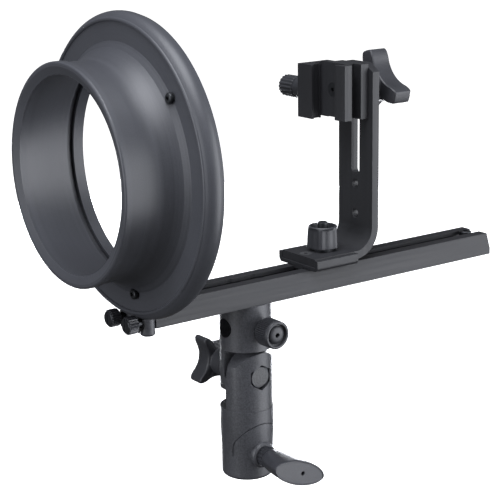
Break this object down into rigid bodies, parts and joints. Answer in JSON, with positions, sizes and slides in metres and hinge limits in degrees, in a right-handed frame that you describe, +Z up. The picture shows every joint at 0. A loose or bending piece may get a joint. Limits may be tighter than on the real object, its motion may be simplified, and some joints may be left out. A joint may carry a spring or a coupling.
{
  "type": "umbrella swivel bracket",
  "caption": "Tilting stand adapter with umbrella hole, T-slot rail, modifier ring at the front and a height-adjustable flash clamp on a sliding L bracket.",
  "frame": {"origin": "axis of the stand socket at its mouth, on the underside of the lower casting", "axes": "+Z up along the stand, +Y from the ring back along the rail, +X to the side with the two locking screws"},
  "size_m": [0.1608, 0.2889, 0.2689],
  "materials": {
    "cast_alloy": "black powder coat on cast alloy, fine satin grain",
    "anodised_alloy": "black anodised, satin",
    "spun_alloy": "black satin paint on spun alloy",
    "black_plastic": "glass-filled nylon, matt",
    "black_steel": "black oxide",
    "zinc_steel": "zinc plated",
    "chrome_nut": "bright nickel",
    "brass_insert": "turned",
    "fibre": "fibre washer"
  },
  "bodies": {
    "stand_adapter": {"lower_casting": "cast_alloy", "friction_washer": "fibre", "tilt_bolt": "black_steel"},
    "stand_lock": {"stand_lock_screw": "zinc_steel", "stand_lock_lever": "black_plastic"},
    "tilt_lock": {"tilt_washer": "black_steel", "tilt_knob": "black_plastic", "tilt_knob_insert": "brass_insert"},
    "head": {"upper_casting": "cast_alloy", "rail": "anodised_alloy", "rail_fixing_screws": "black_steel", "rail_stop_screw": "black_steel", "outer_ring": "spun_alloy", "collar": "spun_alloy", "collar_screws": "black_steel", "collar_nuts": "chrome_nut", "rail_end_block": "anodised_alloy", "ring_bracket": "black_steel", "ring_bracket_screws": "black_steel", "ring_bracket_bolt": "black_steel", "ring_bracket_nut": "zinc_steel"},
    "umbrella_lock": {"umbrella_lock_screw": "zinc_steel", "umbrella_lock_collar": "black_steel", "umbrella_lock_knob": "black_plastic"},
    "thumb_left": {"ring_thumb_screw_left": "black_steel"},
    "thumb_right": {"ring_thumb_screw_right": "black_steel"},
    "slider": {"carriage": "anodised_alloy", "l_bracket": "anodised_alloy", "foot_screw": "black_steel", "carriage_nut": "zinc_steel", "carriage_bolt": "zinc_steel", "foot_washer": "black_plastic"},
    "slider_lock": {"carriage_knob": "black_plastic", "carriage_knob_insert": "black_plastic"},
    "shoe": {"shoe_base": "anodised_alloy", "shoe_back_plate": "anodised_alloy", "shoe_back_screw": "black_steel", "jaw_stud": "black_steel", "height_bolt": "zinc_steel", "height_washer": "black_steel"},
    "shoe_lock": {"height_knob": "black_plastic", "height_knob_insert": "brass_insert"},
    "jaw": {"shoe_jaw": "anodised_alloy"},
    "jaw_lock": {"jaw_knob": "anodised_alloy"}
  },
  "joints": [
    {"name": "tilt", "type": "hinge", "parent": "stand_adapter", "child": "head", "pos_m": [0, 0, 0.061], "axis": [1, 0, 0], "range_deg": [-90, 90]},
    {"name": "stand_lock_turn", "type": "hinge", "parent": "stand_adapter", "child": "stand_lock", "pos_m": [0.03, 0, 0.015], "axis": [1, 0, 0], "range_deg": [-180, 180]},
    {"name": "tilt_lock_turn", "type": "hinge", "parent": "stand_adapter", "child": "tilt_lock", "pos_m": [-0.03, 0, 0.061], "axis": [1, 0, 0], "range_deg": [-180, 180]},
    {"name": "umbrella_lock_turn", "type": "hinge", "parent": "head", "child": "umbrella_lock", "pos_m": [0.024, 0, 0.0895], "axis": [1, 0, 0], "range_deg": [-180, 180]},
    {"name": "ring_thumb_left_turn", "type": "hinge", "parent": "head", "child": "thumb_left", "pos_m": [-0.0088, -0.08, 0.1062], "axis": [0, 1, 0], "range_deg": [-180, 180]},
    {"name": "ring_thumb_right_turn", "type": "hinge", "parent": "head", "child": "thumb_right", "pos_m": [0.0088, -0.08, 0.1062], "axis": [0, 1, 0], "range_deg": [-180, 180]},
    {"name": "slider_travel", "type": "slide", "parent": "head", "child": "slider", "axis": [0, 1, 0], "range_m": [-0.075, 0.095]},
    {"name": "slider_lock_turn", "type": "hinge", "parent": "slider", "child": "slider_lock", "pos_m": [0, 0.056, 0.13], "axis": [0, 0, 1], "range_deg": [-180, 180]},
    {"name": "shoe_height", "type": "slide", "parent": "slider", "child": "shoe", "axis": [0, 0, 1], "range_m": [-0.041, 0]},
    {"name": "shoe_lock_turn", "type": "hinge", "parent": "shoe", "child": "shoe_lock", "pos_m": [0, 0.1, 0.2148], "axis": [0, 1, 0], "range_deg": [-180, 180]},
    {"name": "jaw_travel", "type": "slide", "parent": "shoe", "child": "jaw", "axis": [1, 0, 0], "range_m": [0, 0.0064]},
    {"name": "jaw_knob_turn", "type": "hinge", "parent": "shoe", "child": "jaw_lock", "pos_m": [-0.045, 0.0719, 0.2114], "axis": [1, 0, 0], "range_deg": [-180, 180]}
  ]
}
